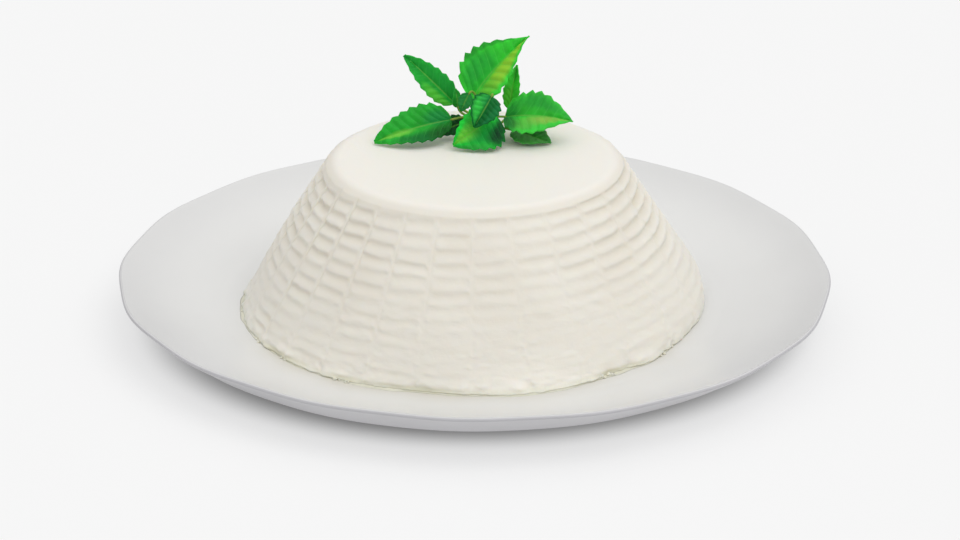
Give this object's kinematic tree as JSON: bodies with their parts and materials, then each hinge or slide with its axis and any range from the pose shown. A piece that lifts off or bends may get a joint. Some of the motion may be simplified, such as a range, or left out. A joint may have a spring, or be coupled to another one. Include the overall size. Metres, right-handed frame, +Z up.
{
  "type": "ricotta cheese on a plate",
  "caption": "Fresh ricotta turned out of its basket, with the basket's ribbed print, on a white coupe plate under a mint sprig.",
  "frame": {"origin": "on the table under the middle of the plate", "axes": "+Z up, -Y towards the front, where the sprig's leaves fan out to left and right along X"},
  "size_m": [0.2706, 0.2706, 0.1042],
  "materials": {
    "porcelain": "white glazed porcelain",
    "ricotta": "moist fresh curd",
    "mint_stem": "fresh green stalk",
    "mint_leaf": "fresh veined leaf"
  },
  "bodies": {
    "root": {"plate": "porcelain", "ricotta": "ricotta", "stem": "mint_stem", "leaf_tall": "mint_leaf", "leaf_upper_left": "mint_leaf", "leaf_lower_left": "mint_leaf", "leaf_front": "mint_leaf", "leaf_right": "mint_leaf", "leaf_flat": "mint_leaf", "leaf_narrow": "mint_leaf", "leaf_bud_front": "mint_leaf", "leaf_bud_left": "mint_leaf", "leaf_centre": "mint_leaf", "leaf_under": "mint_leaf"}
  },
  "joints": []
}
